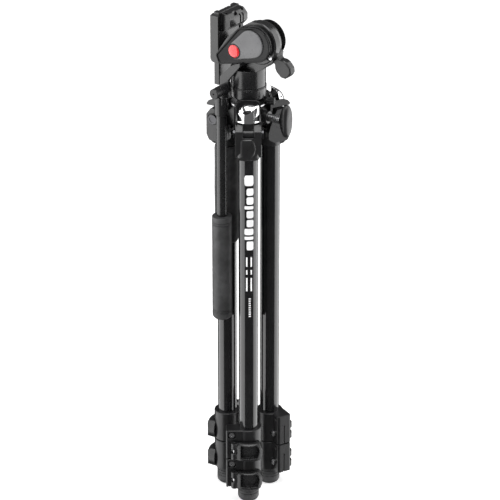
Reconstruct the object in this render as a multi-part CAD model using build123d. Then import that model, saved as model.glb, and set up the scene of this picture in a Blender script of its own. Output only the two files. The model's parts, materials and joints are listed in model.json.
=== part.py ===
from build123d import *
import math
import os

# Folded three-section tripod with flip-lever clamps and a compact fluid head.
# Millimetres, +Z up, feet on Z = 0, the front leg towards -Y.
# Legs are modelled at the front and turned about the column by thirds of a turn.
# The head is modelled square to its own tilt axis and then turned by HEAD_YAW.

# ---------------------------------------------------------------- driving sizes
LEG_NAMES = ("front", "right", "left")
LEG_PITCH_R = 28.8          # column axis to leg tube axis, legs folded
LEG_TURN = 120.0

UPPER_OD, UPPER_WALL = 22.5, 1.2
MID_OD, MID_WALL = 19.3, 1.1
LOWER_OD, LOWER_WALL = 16.3, 1.1
SLIDE_GAP = 0.3             # radial gap where a tube only passes through

FOOT_TOP = 22.0
FOOT_R = 12.5
CLAMP_H = 37.0
CLAMP_PITCH = 38.4
LOWER_CLAMP_Z = 22.8
UPPER_CLAMP_Z = LOWER_CLAMP_Z + CLAMP_PITCH
CLAMP_BOLT_Z = 12.0         # link bolt, above the clamp's lower end
CLAMP_BOLT_X = -17.7
TENSION_SCREW_X = -19.5
TENSION_SCREW_DROP = 6.5    # tension screw, below the clamp's upper end
MID_TUBE_TOP, LOWER_TUBE_TOP = 432.0, 418.0
TUBE_SEAT_Z = 5.0           # lower tube's end inside the foot
COLLAR_R = 15.6
LUG_X = -26.5               # outer side of the clamp lug, from the tube axis
LUG_FRONT = 14.5            # lug face, outward from the tube axis
LEVER_H = 22.0
LEVER_X0, LEVER_X1 = -16.9, 16.5
LEVER_FACE = 24.0           # lever face, outward from the tube axis
LEVER_TOP_ROUND = 6.0
LEVER_DISH = 4.6            # depth of the dished face
LEVER_PIN_X, LEVER_PIN_Y = -16.5, 17.2
LEVER_PIN_R = 1.5
LEVER_BOSS_R = 3.8

HINGE_R = 37.6              # column axis to leg hinge axis
HINGE_Z = 474.0
HINGE_BOLT_R = 4.0
BOLT_HEAD_R = 5.6
FIT = 0.05                  # radial running clearance
CAP_HALF_W = 14.5
CAP_BOTTOM = 442.0
CAP_SOCKET_TOP = 461.0
CAP_SOCKET_R = 13.0
CHEEK_R = 13.8
TONGUE_HALF = 6.0
TONGUE_GAP = 0.4
TONGUE_R = 6.5
SLEEVE_R = 14.2
SLEEVE_Z = (320.0, 440.0)

HUB_R = 16.2
HUB_Z = (463.0, 495.5)
BUSH_R = 13.0
COLUMN_OD, COLUMN_WALL = 22.4, 1.4
COLUMN_Z = (226.0, 496.5)
ARCH_R = (20.9, 23.4)
ARCH_HALF_W = 14.0
ARCH_Z = (486.0, 508.5)
EAR_INNER = 12.4            # half width between the thin ears beside the latch
EAR_Z = (490.0, 498.0)

SELECTOR_R = (33.5, 46.0)
SELECTOR_Z = (489.0, 507.5)
SELECTOR_HALF_W = 12.0
SELECTOR_PIN = (36.5, 500.0)
SELECTOR_PIN_R = 1.5
HOOD_CORNER = 11.0          # large round on one side of the latch's hood

KNOB_AZ = -30.0             # column lock knob, degrees about the column
KNOB_Z = 484.0
KNOB_R0, KNOB_R1 = 42.0, 54.0
KNOB_TALL, KNOB_WIDE = 40.0, 17.0
LOCK_STUD_R = 3.0

HEAD_YAW = -36.0
BASE_R = 20.6
BASE_Z = (506.0, 519.5)
BASE_HUB_R = 12.5
TOP_PLATE_R, TOP_PLATE_T = 20.0, 2.4
HEAD_STUD_R = 4.76          # 3/8 inch camera thread
NECK_R = 20.0
NECK_Z = (519.9, 541.0)
PAN_KNOB_AZ = -14.0
PAN_KNOB_Z = 501.3

TILT_X, TILT_Z = 21.4, 576.2
DRUM_R = 24.8
DRUM_FAR_R = 15.5           # the drum narrows to this on the far side
FAR_ARM_R = 12.6
DRUM_HALF = 11.8
AXLE_R = 5.0
ARM_Y = (12.2, 15.9)        # tilt arms, distance from the head's middle plane
COVER_Y = (16.2, 19.0)
COVER_R = 21.0
BADGE_AT = (-6.0, 563.4)
BADGE_R = 7.4

RAIL_X = (-39.0, -31.0)     # plate holder, thickness direction
RAIL_Z = (514.5, 601.0)
RAIL_Y = (-12.5, 25.5)
PLATE_X = (-43.5, -39.3)
PLATE_Z = (543.5, 597.0)
GUIDE_X = (-41.3, -30.5)    # raised side guide of the plate holder
GUIDE_Y = (-15.9, -12.4)
GUIDE_Z = (542.0, 597.5)
CHANNEL_Y = (-6.0, 19.0)
CHANNEL_DEPTH = 3.6
CAMERA_SCREW_R = 3.175      # 1/4 inch camera thread
SCREW_NECK_R = 4.2          # plain neck inside the plate
CAMERA_SCREW_Z = 566.0
CAMERA_SCREW_Y = 6.5

TILT_LEVER_AT = (37.0, 562.5)
TILT_LEVER_Y = (-5.0, 5.0)
TILT_LEVER_ANGLE = -44.0
TILT_LEVER_BOSS_R = 6.4
TILT_SCREW_R = 2.0

BAR_X, BAR_Y = -15.9, -29.6
BAR_CLAMP_Z = 517.0
BAR_R = 6.0
BAR_Z = (240.0, 512.0)
SOCKET_R = 7.8
SOCKET_BOTTOM = 488.0
GRIP_R = 11.5
GRIP_Z = (233.5, 363.5)
BARREL_R = 6.2
BAR_BOLT_R = 2.5
BRACKET_Y = (-24.0, -20.2)
BAR_KNOB_Y = (-44.3, -36.2)
PLATE_LOCK_R = 2.6
PLATE_LOCK_Z = 556.0
CAMERA_SCREW_OUT = 5.3

os.makedirs("parts", exist_ok=True)
NODES = {}


# ---------------------------------------------------------------- helpers
def rod(radius, z0, z1, x=0.0, y=0.0):
    """Upright round bar between two heights."""
    return Pos(x, y, (z0 + z1) / 2) * Cylinder(radius, z1 - z0)


def tube(outer_r, inner_r, z0, z1, x=0.0, y=0.0):
    return rod(outer_r, z0, z1, x, y) - rod(inner_r, z0 - 1, z1 + 1, x, y)


def block(x0, x1, y0, y1, z0, z1):
    middle = Pos((x0 + x1) / 2, (y0 + y1) / 2, (z0 + z1) / 2)
    return middle * Box(abs(x1 - x0), abs(y1 - y0), abs(z1 - z0))


def bar_x(radius, x0, x1, y, z):
    """Round bar along X."""
    return Pos((x0 + x1) / 2, y, z) * Rot(0, 90, 0) * Cylinder(radius, abs(x1 - x0))


def bar_y(radius, y0, y1, x, z):
    """Round bar along Y."""
    return Pos(x, (y0 + y1) / 2, z) * Rot(90, 0, 0) * Cylinder(radius, abs(y1 - y0))


def prism_x(points, x0, x1):
    """Extrude a (y, z) outline along X."""
    face = Plane.YZ * make_face(Polyline(*points, close=True))
    return Pos(x0, 0, 0) * extrude(face, x1 - x0)


def prism_y(points, y0, y1):
    """Extrude an (x, z) outline along Y."""
    face = Plane.XZ * make_face(Polyline(*points, close=True))
    return Pos(0, y1, 0) * extrude(face, y1 - y0)


def add(name, shape):
    solids = shape.solids() if hasattr(shape, "solids") else [shape]
    NODES[name] = solids[0] if len(solids) == 1 else Compound(list(solids))


def soften(shape, edges, radius):
    """Round the edges, at half the radius where the full one can't be built."""
    for size in (radius, radius / 2, radius / 4):
        try:
            rounded = fillet(edges, size)
        except ValueError:
            continue
        if rounded.is_valid:
            return rounded
    return shape


# ---------------------------------------------------------------- one leg
def clamp_body(z0, outer_r, inner_r):
    """Collar on the outer tube's end with a split lug, gripping the inner tube."""
    cy = -LEG_PITCH_R
    z1 = z0 + CLAMP_H
    lug = block(LUG_X, -4, cy - LUG_FRONT, cy + 3, z0, z1)
    lug = soften(lug, lug.edges().filter_by(Axis.Z), 2.5)
    body = rod(COLLAR_R, z0, z1, 0, cy) + lug
    body = soften(body, body.edges().group_by(Axis.Z)[-1], 1.2)
    grip_top = z0 + LEVER_H + 2
    body -= rod(inner_r + SLIDE_GAP, z0 - 1, z1, 0, cy)
    body -= rod(outer_r, grip_top, z1 + 1, 0, cy)
    # slit between the jaws and the pocket of the tension screw
    body -= block(LUG_X - 1, -4, cy - 5.6, cy - 4.4, z0 - 1, grip_top)
    body -= block(LUG_X - 1, 0, cy - 6, cy - 4.4, grip_top - 1.2, grip_top)
    pocket = block(-24.2, -14.8, cy - LUG_FRONT - 1, cy - LUG_FRONT + 3.2, z1 - 10.5, z1 - 2.5)
    body -= soften(pocket, pocket.edges().filter_by(Axis.Y), 2.0)
    # lever recess, link bolt hole and screw hole
    body -= block(LUG_X + 2.5, -6, cy - LUG_FRONT - 1, cy - LUG_FRONT + 1.4, z0 - 1, z0 + LEVER_H + 1)
    body -= bar_y(1.9, cy - LUG_FRONT - 1, cy + 4, CLAMP_BOLT_X, z0 + CLAMP_BOLT_Z)
    body -= bar_y(3.9, cy + 3, cy + 8, CLAMP_BOLT_X, z0 + CLAMP_BOLT_Z)
    body -= bar_y(2.0, cy - 12, cy + 4, TENSION_SCREW_X, z1 - TENSION_SCREW_DROP)
    return body


def clamp_bolt(z0):
    """Link bolt with its barrel nut inside the lever, and the hex tension screw."""
    cy = -LEG_PITCH_R
    z1 = z0 + CLAMP_H
    link = bar_y(1.8, cy - LEVER_PIN_Y, cy + 3.6, CLAMP_BOLT_X, z0 + CLAMP_BOLT_Z)
    link += bar_y(3.4, cy + 3.2, cy + 5.6, CLAMP_BOLT_X, z0 + CLAMP_BOLT_Z)
    pin = rod(LEVER_PIN_R, z0 + 2.6, z0 + LEVER_H - 2.6, LEVER_PIN_X, cy - LEVER_PIN_Y)
    screw = bar_y(1.9, cy - 11.6, cy + 2.5, TENSION_SCREW_X, z1 - TENSION_SCREW_DROP)
    screw += bar_y(3.3, cy - 13.6, cy - 11.3, TENSION_SCREW_X, z1 - TENSION_SCREW_DROP)
    socket = Pos(TENSION_SCREW_X, cy - 13.7, z1 - TENSION_SCREW_DROP) * Rot(90, 0, 0)
    screw -= socket * extrude(RegularPolygon(1.6, 6), amount=2.4, both=True)
    return Compound(list((link + pin).solids()) + list(screw.solids()))


def clamp_lever(z0):
    """D-shaped lever lying round the front of the collar, with a dished face."""
    cy = -LEG_PITCH_R
    zb, zt = z0 + 1.2, z0 + LEVER_H + 0.4
    outer = Pos(0, cy, 0) * (rod(LEVER_FACE, zb, zt) - rod(COLLAR_R + 0.45, zb - 1, zt + 1))
    window = block(LEVER_X0, LEVER_X1, cy - 25, cy - 9, zb, zt)
    lever = outer & window
    lever = soften(lever, lever.edges().group_by(Axis.Z)[-1].filter_by(GeomType.CIRCLE)
                   .sort_by(Axis.Y)[:1], LEVER_TOP_ROUND)
    boss = rod(LEVER_BOSS_R, zb, zt, LEVER_PIN_X, cy - LEVER_PIN_Y)
    lever = lever + boss
    lever -= block(LEVER_X0 - 8, -8, cy - LUG_FRONT + 1.0, cy, zb - 1, zt + 1)
    # free end rounded off like a D
    keep_r = 19.0
    d_outline = bar_y(keep_r, cy - 30, cy, LEVER_X1 - keep_r, zt - keep_r * 0.62)
    d_outline += block(-30, LEVER_X1 - keep_r * 0.75, cy - 30, cy, zb, zt)
    lever = lever & d_outline
    # dished face and the opening over the link bolt
    dish = tube(LEVER_FACE + 3, LEVER_FACE - LEVER_DISH, zb + 3.0, zt - 2.2, 0, cy)
    dish_window = bar_y(13.5, cy - 30, cy, LEVER_X1 - 17.0, zt - 10.5)
    lever -= dish & dish_window & block(-9, LEVER_X1 - 3, cy - 30, cy, zb, zt)
    lever -= rod(LEVER_PIN_R + FIT, zb - 1, zt + 1, LEVER_PIN_X, cy - LEVER_PIN_Y)
    link_low, link_high = z0 + 9.2, z0 + 14.8
    lever -= block(LEVER_X0 - 6, -15.2, cy - LEVER_PIN_Y - 6, cy - 8, link_low, link_high)
    lever -= block(LEVER_X0 - 6, -12.5, cy - LEVER_PIN_Y - 2.6, cy - 8, link_low, link_high)
    return max(lever.solids(), key=lambda s: s.volume)


def leg_cap():
    """Casting on the tube's end: a socket with two cheeks around the hinge."""
    cy = -LEG_PITCH_R
    socket = rod(CAP_SOCKET_R, CAP_BOTTOM, CAP_SOCKET_TOP, 0, cy)
    skirt = block(-CAP_HALF_W + 1, CAP_HALF_W - 1, cy - 16.0, cy + 2, CAP_BOTTOM + 7, CAP_SOCKET_TOP)
    skirt = soften(skirt, skirt.edges().filter_by(Axis.Z), 6.0)
    profile = [
        (cy + 10.5, CAP_SOCKET_TOP - 9),
        (cy + 10.5, CAP_SOCKET_TOP - 1),
        (-HINGE_R + CHEEK_R * 0.95, HINGE_Z + 4),
        (-HINGE_R + 8, HINGE_Z + CHEEK_R - 1.2),
        (-HINGE_R - 3.5, HINGE_Z + CHEEK_R - 1.2),
        (-HINGE_R - 9.2, HINGE_Z + 5),
        (-HINGE_R - 9.2, CAP_SOCKET_TOP - 7),
        (-HINGE_R - 5.5, CAP_SOCKET_TOP - 14),
        (cy + 3, CAP_SOCKET_TOP - 14),
    ]
    cheeks = prism_x(profile, -CAP_HALF_W, CAP_HALF_W)
    cheeks = soften(cheeks, cheeks.edges().filter_by(Axis.X), 2.5)
    cap = socket + skirt + cheeks
    # room for the shoulder's tongue, open to the top and to the column
    inner = TONGUE_HALF + TONGUE_GAP
    cap -= block(-inner, inner, -HINGE_R - TONGUE_R - 0.4, 0, CAP_SOCKET_TOP + 1.5, HINGE_Z + 30)
    cap -= block(-inner, inner, -HINGE_R - 20, -HINGE_R, HINGE_Z - 2, HINGE_Z + 30)
    cap -= rod(UPPER_OD / 2, CAP_BOTTOM - 1, CAP_SOCKET_TOP - 2.5, 0, cy)
    cap -= bar_x(HINGE_BOLT_R + FIT, -20, 20, -HINGE_R, HINGE_Z)
    # shallow thumb recess on the outer face
    cap -= bar_y(3.4, -HINGE_R - 12, -HINGE_R - 8.2, 5.5, CAP_SOCKET_TOP - 1.5)
    # ring groove round the bolt head
    ring = bar_x(BOLT_HEAD_R + 1.5, CAP_HALF_W - 0.9, 20, -HINGE_R, HINGE_Z)
    ring -= bar_x(BOLT_HEAD_R + 0.5, 0, 25, -HINGE_R, HINGE_Z)
    return cap - ring


def angle_selector():
    """Spring latch over the tongue that sets how far the leg opens."""
    r0, r1 = SELECTOR_R
    z0, z1 = SELECTOR_Z
    size = z1 - z0
    body = block(-SELECTOR_HALF_W, SELECTOR_HALF_W, -r1, -r0, z0, z1)
    body &= bar_x(size * 0.98, -20, 20, -(r1 - size * 0.98), z0)
    corner = HOOD_CORNER
    hood = block(-SELECTOR_HALF_W + corner, SELECTOR_HALF_W, -60, 0, z0, z1)
    hood += block(-SELECTOR_HALF_W, 0, -60, 0, z0, z1 - corner)
    hood += bar_y(corner, -60, 0, -SELECTOR_HALF_W + corner, z1 - corner)
    body &= hood
    upright = [e for e in body.edges() if abs(abs(e.center().X) - SELECTOR_HALF_W) < 0.1]
    body = soften(body, upright, 1.4)
    inner = TONGUE_HALF + TONGUE_GAP
    body -= block(-inner, inner, -r1 + 3.6, -r0 + 1, z0 - 1, z1 - 2.0)
    window = block(-5.0, 4.0, -r1 - 1, -r1 + 7, z0 + 10.0, z0 + 14.2)
    body -= soften(window, window.edges().filter_by(Axis.Y), 2.0)
    body -= bar_x(SELECTOR_PIN_R + FIT, -20, 20, -SELECTOR_PIN[0], SELECTOR_PIN[1])
    return body


def foot():
    cy = -LEG_PITCH_R
    body = rod(FOOT_R, 0, FOOT_TOP, 0, cy)
    body = soften(body, body.edges().group_by(Axis.Z)[0], 6.0)
    body = soften(body, body.edges().group_by(Axis.Z)[-1], 1.0)
    for z in (11.0, 14.5, 18.0):
        body -= tube(FOOT_R + 1, FOOT_R - 0.6, z, z + 1.0, 0, cy)
    body -= rod(LOWER_OD / 2, TUBE_SEAT_Z, FOOT_TOP + 1, 0, cy)
    return body


def leg_parts():
    """Every piece of one leg, in the front leg's place."""
    cy = -LEG_PITCH_R
    return {
        "leg_cap": leg_cap(),
        "angle_selector": angle_selector(),
        "upper_tube": tube(UPPER_OD / 2, UPPER_OD / 2 - UPPER_WALL,
                           UPPER_CLAMP_Z + LEVER_H + 2, CAP_SOCKET_TOP - 2.5, 0, cy),
        "upper_clamp": clamp_body(UPPER_CLAMP_Z, UPPER_OD / 2, MID_OD / 2),
        "upper_clamp_bolt": clamp_bolt(UPPER_CLAMP_Z),
        "upper_lever": clamp_lever(UPPER_CLAMP_Z),
        "mid_tube": tube(MID_OD / 2, MID_OD / 2 - MID_WALL, LOWER_CLAMP_Z + LEVER_H + 2,
                         MID_TUBE_TOP, 0, cy),
        "lower_clamp": clamp_body(LOWER_CLAMP_Z, MID_OD / 2, LOWER_OD / 2),
        "lower_clamp_bolt": clamp_bolt(LOWER_CLAMP_Z),
        "lower_lever": clamp_lever(LOWER_CLAMP_Z),
        "lower_tube": tube(LOWER_OD / 2, LOWER_OD / 2 - LOWER_WALL, TUBE_SEAT_Z,
                           LOWER_TUBE_TOP, 0, cy),
        "foot": foot(),
    }


# ---------------------------------------------------------------- shoulder and column
def shoulder_arm():
    """Tongue to one leg hinge with the arch plate and the latch carrier above it."""
    arm_profile = [
        (-HUB_R + 2.5, HINGE_Z - 7), (-HUB_R + 2.5, HUB_Z[1]), (-ARCH_R[0] + 1, HUB_Z[1]),
        (-SELECTOR_PIN[0] + 0.5, SELECTOR_PIN[1] + 4), (-SELECTOR_PIN[0] - 3, SELECTOR_PIN[1] + 1),
        (-SELECTOR_PIN[0] - 3, SELECTOR_PIN[1] - 6), (-HINGE_R - 2.4, HINGE_Z + 5.6),
        (-HINGE_R, HINGE_Z - 7),
    ]
    tongue = prism_x(arm_profile, -TONGUE_HALF, TONGUE_HALF)
    tongue += bar_x(TONGUE_R, -TONGUE_HALF, TONGUE_HALF, -HINGE_R, HINGE_Z)
    arch = block(-ARCH_HALF_W, ARCH_HALF_W, -ARCH_R[1], -ARCH_R[0], ARCH_Z[0], ARCH_Z[1])
    top_edges = [e for e in arch.edges().filter_by(Axis.Y) if e.center().Z > ARCH_Z[1] - 1]
    arch = soften(arch, top_edges, 8.0)
    ear_profile = [
        (-ARCH_R[0], EAR_Z[0]), (-ARCH_R[0], EAR_Z[1]), (-HINGE_R - 1, EAR_Z[1]),
        (-HINGE_R - 6.5, EAR_Z[1] - 2.5), (-HINGE_R - 9.2, EAR_Z[0] + 2), (-HINGE_R - 8.6, EAR_Z[0]),
    ]
    ears = prism_x(ear_profile, -ARCH_HALF_W, ARCH_HALF_W) - block(-EAR_INNER, EAR_INNER, -60, 0, 440, 520)
    arm = tongue + arch + ears
    arm -= bar_x(HINGE_BOLT_R + FIT, -20, 20, -HINGE_R, HINGE_Z)
    arm -= bar_x(SELECTOR_PIN_R + FIT, -20, 20, -SELECTOR_PIN[0], SELECTOR_PIN[1])
    return arm


def at_azimuth(shape, azimuth):
    """Turn a shape modelled along +X about the column."""
    return Rot(0, 0, azimuth) * shape


def shoulder():
    body = rod(HUB_R, HUB_Z[0], HUB_Z[1])
    for k in range(3):
        body += Rot(0, 0, LEG_TURN * k) * shoulder_arm()
    boss = bar_x(7.0, HUB_R - 3, 27.0, 0, KNOB_Z)
    body += at_azimuth(boss, KNOB_AZ)
    body -= rod(BUSH_R, HUB_Z[0] - 1, HUB_Z[1] + 15)
    bore = bar_x(LOCK_STUD_R + FIT, 0, 30, 0, KNOB_Z)
    body -= at_azimuth(bore, KNOB_AZ)
    return body


def hinge_pins():
    """Leg hinge bolts with round heads, nuts, and the latch pins."""
    reach = CAP_HALF_W + 0.3
    bolt = bar_x(HINGE_BOLT_R, -reach - 2.2, reach + 0.5, -HINGE_R, HINGE_Z)
    head = bar_x(BOLT_HEAD_R, reach, reach + 2.4, -HINGE_R, HINGE_Z)
    head -= bar_x(3.6, reach + 1.9, reach + 4, -HINGE_R, HINGE_Z)
    nut = bar_x(5.4, -reach - 2.4, -reach, -HINGE_R, HINGE_Z)
    latch_pin = bar_x(SELECTOR_PIN_R, -11.0, 11.0, -SELECTOR_PIN[0], SELECTOR_PIN[1])
    one = list((bolt + head + nut).solids()) + list(latch_pin.solids())
    solids = []
    for k in range(3):
        solids += [Rot(0, 0, LEG_TURN * k) * s for s in one]
    return Compound(solids)


def column_lock():
    """Stud with its pressure tip, and the oval knob on it."""
    stud = bar_x(LOCK_STUD_R, COLUMN_OD / 2 + 0.3, KNOB_R0 + 6, 0, KNOB_Z)
    stud += bar_x(4.6, 27.4, KNOB_R0, 0, KNOB_Z)
    knob = Pos(0, 0, KNOB_Z) * Rot(0, 90, 0) * extrude(
        SlotOverall(KNOB_TALL, KNOB_WIDE), amount=KNOB_R1 - KNOB_R0)
    knob = Pos(KNOB_R0, 0, 0) * knob
    knob = soften(knob, knob.edges().group_by(Axis.X)[-1], 3.5)
    knob = soften(knob, knob.edges().group_by(Axis.X)[0], 1.5)
    knob -= bar_x(LOCK_STUD_R, KNOB_R0 - 1, KNOB_R0 + 6, 0, KNOB_Z)
    return at_azimuth(stud, KNOB_AZ), at_azimuth(knob, KNOB_AZ)


def bush():
    """Split plastic bush with a window for the lock stud."""
    body = tube(BUSH_R, COLUMN_OD / 2 + FIT, HUB_Z[0] + 0.5, HUB_Z[1] - 0.5)
    body -= at_azimuth(bar_x(LOCK_STUD_R + 0.4, 0, 20, 0, KNOB_Z), KNOB_AZ)
    return body


def head_stud():
    """Plug in the column's top with the head's thread standing on it."""
    inner_r = COLUMN_OD / 2 - COLUMN_WALL
    plate = rod(TOP_PLATE_R, COLUMN_Z[1], COLUMN_Z[1] + TOP_PLATE_T)
    plate = soften(plate, plate.edges(), 0.6)
    return rod(inner_r, 478.0, COLUMN_Z[1] + 1) + plate + rod(HEAD_STUD_R, 478.0, 508.0)


def column_cap():
    inner_r = COLUMN_OD / 2 - COLUMN_WALL
    cap = rod(COLUMN_OD / 2, COLUMN_Z[0] - 4, COLUMN_Z[0])
    cap = soften(cap, cap.edges().group_by(Axis.Z)[0], 2.0)
    return cap + rod(inner_r, COLUMN_Z[0], COLUMN_Z[0] + 12)


# ---------------------------------------------------------------- head, in its own frame
def tear_outline(grow=0.0):
    """Side outline of the tilt body: a disc with a nose towards the plate."""
    x, z = TILT_X, TILT_Z
    nose = [
        (x - 55.5 - grow, z - 24.5), (x - 39 - grow * 0.7, z + grow), (x - 22, z + 15.5 + grow),
        (x - 9, z + 19 + grow), (x, z), (x + 5, z - 19.9 - grow), (x - 8, z - 22.6 - grow),
        (x - 30, z - 28.6 - grow), (x - 48, z - 32.5 - grow),
    ]
    return nose


def far_outline():
    """Slimmer outline of the far arm, from the nose to its small disc."""
    x, z = TILT_X, TILT_Z
    return [
        (x - 53, z - 24.5), (x - 39, z - 4), (x - 22, z + 7), (x - 5, z + 11.5),
        (x, z), (x - 5, z - 11.5), (x - 24, z - 28), (x - 45, z - 32.5),
    ]


def tear_solid(y0, y1, radius, grow=0.0):
    body = prism_y(tear_outline(grow), y0, y1)
    sharp = [e for e in body.edges().filter_by(Axis.Y)
             if e.center().X < TILT_X - 15 or (e.center().X < TILT_X - 5 and e.center().Z > TILT_Z)]
    body = soften(body, sharp, 5.0)
    return body + bar_y(radius, y0, y1, TILT_X, TILT_Z)


def housing():
    """Turning lower part of the head: round neck and the drum of the tilt brake."""
    neck = rod(NECK_R, NECK_Z[0], NECK_Z[1])
    x, z, top = TILT_X, TILT_Z, NECK_Z[1]
    throat_outline = [
        (-NECK_R + 4, top - 1), (-NECK_R + 4, top + 0.3), (x - 31.0, top + 0.8), (x - 9.5, z - 24.4),
        (x + 8, z), (x + 20.5, z - 11), (x + 19.5, z - 18), (x + 4, top + 4), (NECK_R - 3, top - 1),
    ]
    throat = prism_y(throat_outline, -DRUM_HALF + 1.5, DRUM_HALF - 2.5)
    drum_profile = [
        (0, -DRUM_HALF), (DRUM_R - 1, -DRUM_HALF), (DRUM_R, -DRUM_HALF + 1), (DRUM_R, -3.5),
        (DRUM_R - 0.9, 0.5), (DRUM_R - 3.2, 4.5), (DRUM_FAR_R + 2.6, 8.8), (DRUM_FAR_R, DRUM_HALF),
        (0, DRUM_HALF),
    ]
    drum_face = make_face(Polyline(*drum_profile, close=True))
    drum = Pos(TILT_X, 0, TILT_Z) * revolve(drum_face, Axis.Y)
    body = neck + throat + drum
    # slot for the tilt lever's boss and bores for the axle and the pivot screw
    body -= bar_y(TILT_LEVER_BOSS_R + 3.0, TILT_LEVER_Y[0] - 0.3, TILT_LEVER_Y[1] + 0.3, *TILT_LEVER_AT)
    body -= bar_y(AXLE_R + FIT, -40, 40, TILT_X, TILT_Z)
    body -= bar_y(TILT_SCREW_R + FIT, -20, 20, *TILT_LEVER_AT)
    body -= bar_y(3.6, -20, -9.0, *TILT_LEVER_AT)
    return body


def tilt_body():
    """Two arms round the drum, joined in the nose, with the bracket of the pan bar."""
    near = tear_solid(-ARM_Y[1], -ARM_Y[0], COVER_R)
    far = prism_y(far_outline(), *ARM_Y) + bar_y(FAR_ARM_R, *ARM_Y, TILT_X, TILT_Z)
    nose = tear_solid(-ARM_Y[0] - 0.5, ARM_Y[0] + 0.5, COVER_R)
    nose -= bar_y(DRUM_R + 0.5, -ARM_Y[0], ARM_Y[0], TILT_X, TILT_Z)
    nose = max(nose.solids(), key=lambda s: s.volume)
    body = near + far + nose
    x, z = TILT_X, TILT_Z
    foot_outline = [(x - 29, z - 33.5), (x - 29, z - 29.9), (x - 16, z - 23.7), (x - 16, z - 28)]
    body += prism_y(foot_outline, BRACKET_Y[0], -ARM_Y[0])
    top_outline = [(x - 29, z - 31), (x - 29, z - 26), (x - 16, z - 20), (x - 16, z - 26)]
    body += prism_y(top_outline, -ARM_Y[1], -ARM_Y[0])
    arm_outline = [
        (x - 29, z - 30.0), (BAR_X - 6.2, BAR_CLAMP_Z + 14), (BAR_X - 6.2, BAR_CLAMP_Z),
        (BAR_X + 6.2, BAR_CLAMP_Z), (BAR_X + 5.4, BAR_CLAMP_Z + 12), (x - 16, z - 28), (x - 16, z - 23.9),
    ]
    body += prism_y(arm_outline, *BRACKET_Y)
    body += bar_y(BARREL_R, *BRACKET_Y, BAR_X, BAR_CLAMP_Z)
    body -= bar_y(BAR_BOLT_R + FIT, -40, 0, BAR_X, BAR_CLAMP_Z)
    body -= bar_y(AXLE_R + FIT, -40, 40, TILT_X, TILT_Z)
    # seat of the plate holder
    body -= block(-60, RAIL_X[1], -40, 40, 500, 600)
    body -= block(-60, GUIDE_X[1] + 0.3, -20, GUIDE_Y[1] + 0.3, 500, 600)
    return max(body.solids(), key=lambda s: s.volume)


def side_cover():
    """Cover of the near tilt arm: stepped rim, groove and a raised round panel."""
    cover = tear_solid(-COVER_Y[1], -COVER_Y[0], COVER_R - 0.6, -0.6)
    ring = tube(17.6, 16.2, 0, 1.0)
    ring = Pos(TILT_X, -COVER_Y[1] - 0.2, TILT_Z) * Rot(-90, 0, 0) * ring
    cover -= ring
    cover -= bar_y(BADGE_R + 0.2, -COVER_Y[1] - 1, -COVER_Y[1] + 1.2, *BADGE_AT)
    return cover


def badge():
    """Plain domed button, a round cap with no mark on it."""
    sphere_r = 16.0
    depth = math.sqrt(sphere_r ** 2 - BADGE_R ** 2)
    dome = Pos(BADGE_AT[0], -COVER_Y[1] + 1.2 + depth - 2.0, BADGE_AT[1]) * Sphere(sphere_r)
    return dome & bar_y(BADGE_R, -COVER_Y[1] - 2, -COVER_Y[1] + 1.2, *BADGE_AT)


def tilt_pins():
    """Tilt axle between the arms and the pivot screw of the tilt lever."""
    axle = bar_y(AXLE_R, -COVER_Y[0] + 0.2, ARM_Y[1] + 1.6, TILT_X, TILT_Z)
    axle += bar_y(AXLE_R + 3, ARM_Y[1] + 0.3, ARM_Y[1] + 2.6, TILT_X, TILT_Z)
    screw = bar_y(TILT_SCREW_R, -9.2, 8.2, *TILT_LEVER_AT)
    screw += bar_y(3.2, -10.6, -9.2, *TILT_LEVER_AT)
    return Compound(list(axle.solids()) + list(screw.solids()))


def tilt_lever():
    """Paddle-shaped lever that clamps the tilt."""
    turn = math.radians(TILT_LEVER_ANGLE)
    x, z = TILT_LEVER_AT
    outline = [
        (2, -5.0), (8.5, -5.2), (12, -8.2), (16, -9.6), (24, -9.2), (28.5, -5.5), (29.5, 0),
        (28.5, 5.5), (24, 9.2), (16, 9.6), (12, 8.2), (8.5, 5.2), (2, 5.0),
    ]
    points = [
        (x + a * math.cos(turn) - b * math.sin(turn), z + a * math.sin(turn) + b * math.cos(turn))
        for a, b in outline
    ]
    paddle = prism_y(points, *TILT_LEVER_Y)
    paddle = soften(paddle, paddle.edges(), 1.8)
    lever = paddle + bar_y(TILT_LEVER_BOSS_R, *TILT_LEVER_Y, x, z)
    lever -= bar_y(TILT_SCREW_R + FIT, -10, 10, x, z)
    return lever


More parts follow.
